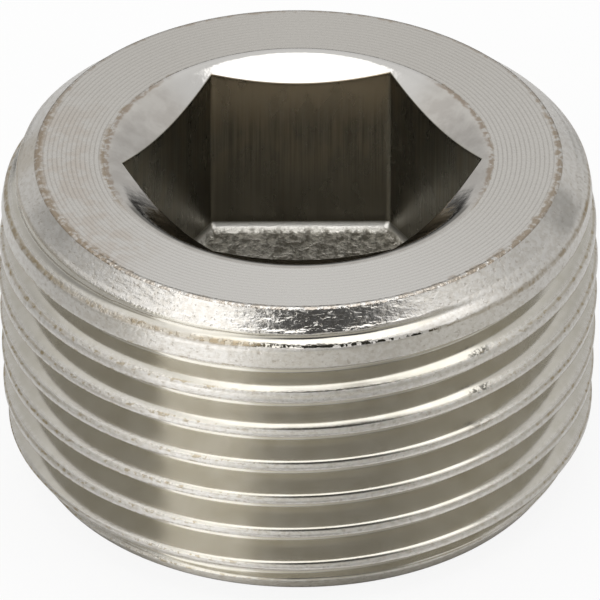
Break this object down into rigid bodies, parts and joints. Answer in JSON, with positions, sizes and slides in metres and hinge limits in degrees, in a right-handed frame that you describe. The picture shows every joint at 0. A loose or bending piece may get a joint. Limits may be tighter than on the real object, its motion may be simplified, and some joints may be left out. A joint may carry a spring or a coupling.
{
  "type": "hex socket pipe plug",
  "caption": "Taper-threaded steel pipe plug with a countersunk hexagon socket in its driving face.",
  "frame": {"origin": "centre of the flat small end, on which the plug stands", "axes": "+Z along the thread axis towards the driving face, +X towards a corner of the hexagon"},
  "size_m": [0.0332, 0.0332, 0.0187],
  "materials": {
    "steel": "as turned and threaded, satin"
  },
  "bodies": {
    "root": {"plug_body": "steel"}
  },
  "joints": []
}
